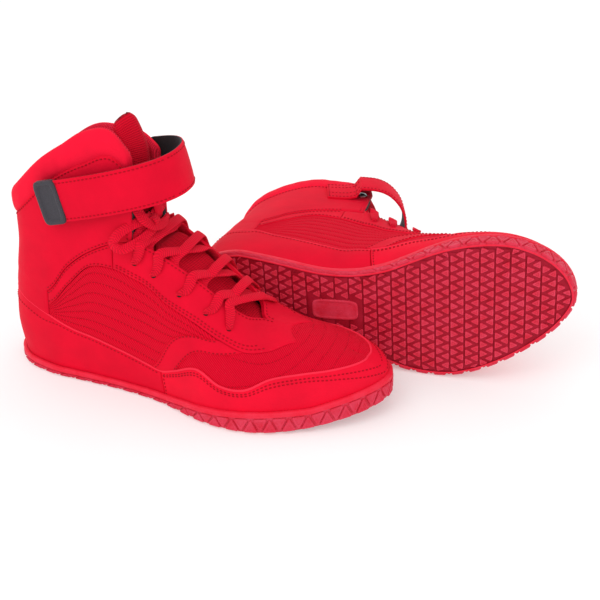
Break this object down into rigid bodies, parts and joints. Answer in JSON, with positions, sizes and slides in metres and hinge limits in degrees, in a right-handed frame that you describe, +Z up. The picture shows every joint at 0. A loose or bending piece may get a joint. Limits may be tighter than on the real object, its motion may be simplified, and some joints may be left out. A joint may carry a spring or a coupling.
{
  "type": "boxing boots",
  "caption": "Pair of ankle-high lace-up boxing boots with padded collars, a wrap-over ankle strap and a thin flexible rubber sole; one stands, one lies on its side.",
  "frame": {"origin": "on the ground under the middle of the pair's bounding box", "axes": "+Z up; +X across the pair, roughly from the heels to the toes; -Y is the side that both the standing boot's lateral side and the lying boot's sole face"},
  "size_m": [0.4098, 0.289, 0.1937],
  "materials": {
    "rubber": "matte",
    "foam": "matte",
    "knit": "matte",
    "lining": "matte",
    "board": "matte",
    "nubuck": "matte, brushed nap",
    "mesh": "matte, ribbed weave",
    "hook": "matte",
    "black_rubber": "satin",
    "lace": "matte, flat weave",
    "steel": "polished"
  },
  "bodies": {
    "right_boot": {"right_outsole": "rubber", "right_midsole": "foam", "right_insole": "knit", "right_lining": "lining", "right_heel_counter": "board", "right_toe_puff": "board", "right_heel_foxing": "nubuck", "right_toe_guard": "nubuck", "right_vamp_mesh": "mesh", "right_quarter_mesh_lateral": "mesh", "right_quarter_mesh_medial": "mesh", "right_ankle_quarter_lateral": "nubuck", "right_ankle_quarter_medial": "nubuck", "right_ankle_foam": "foam", "right_curved_band_lateral": "nubuck", "right_curved_band_medial": "nubuck", "right_diagonal_band_lateral": "nubuck", "right_diagonal_band_medial": "nubuck", "right_eyestay": "nubuck", "right_collar_roll": "nubuck", "right_tongue": "knit", "right_lace_keeper": "nubuck", "right_loop_patch": "hook", "right_lace": "lace", "right_top_eyelet_lateral": "steel", "right_top_eyelet_medial": "steel"},
    "right_strap_front": {"right_strap_front": "nubuck"},
    "right_strap_end": {"right_strap_end": "nubuck", "right_hook_tape": "hook", "right_strap_tab": "black_rubber"},
    "left_boot": {"left_outsole": "rubber", "left_midsole": "foam", "left_insole": "knit", "left_lining": "lining", "left_heel_counter": "board", "left_toe_puff": "board", "left_heel_foxing": "nubuck", "left_toe_guard": "nubuck", "left_vamp_mesh": "mesh", "left_quarter_mesh_lateral": "mesh", "left_quarter_mesh_medial": "mesh", "left_ankle_quarter_lateral": "nubuck", "left_ankle_quarter_medial": "nubuck", "left_ankle_foam": "foam", "left_curved_band_lateral": "nubuck", "left_curved_band_medial": "nubuck", "left_diagonal_band_lateral": "nubuck", "left_diagonal_band_medial": "nubuck", "left_eyestay": "nubuck", "left_collar_roll": "nubuck", "left_tongue": "knit", "left_lace_keeper": "nubuck", "left_loop_patch": "hook", "left_lace": "lace", "left_top_eyelet_lateral": "steel", "left_top_eyelet_medial": "steel"},
    "left_strap_front": {"left_strap_front": "nubuck"},
    "left_strap_end": {"left_strap_end": "nubuck", "left_hook_tape": "hook", "left_strap_tab": "black_rubber"}
  },
  "joints": [
    {"name": "left_boot_slide", "type": "slide", "parent": "right_boot", "child": "left_boot", "axis": [0.2449, 0.9695, 0], "range_m": [0, 0.2]},
    {"name": "right_strap_anchor_hinge", "type": "hinge", "parent": "right_boot", "child": "right_strap_front", "pos_m": [-0.09419, -0.0249, 0.15648], "axis": [-0.2369, 0.0848, 0.9678], "range_deg": [0, 70]},
    {"name": "right_strap_corner_hinge", "type": "hinge", "parent": "right_strap_front", "child": "right_strap_end", "pos_m": [-0.08633, -0.08454, 0.16363], "axis": [-0.2369, 0.0848, 0.9678], "range_deg": [0, 100]},
    {"name": "left_strap_anchor_hinge", "type": "hinge", "parent": "left_boot", "child": "left_strap_front", "pos_m": [0.0572, 0.10834, 0.07791], "axis": [0.003, -0.9977, 0.0676], "range_deg": [0, 70]},
    {"name": "left_strap_corner_hinge", "type": "hinge", "parent": "left_strap_front", "child": "left_strap_end", "pos_m": [0.08841, 0.10492, 0.0261], "axis": [0.003, -0.9977, 0.0676], "range_deg": [0, 100]}
  ]
}
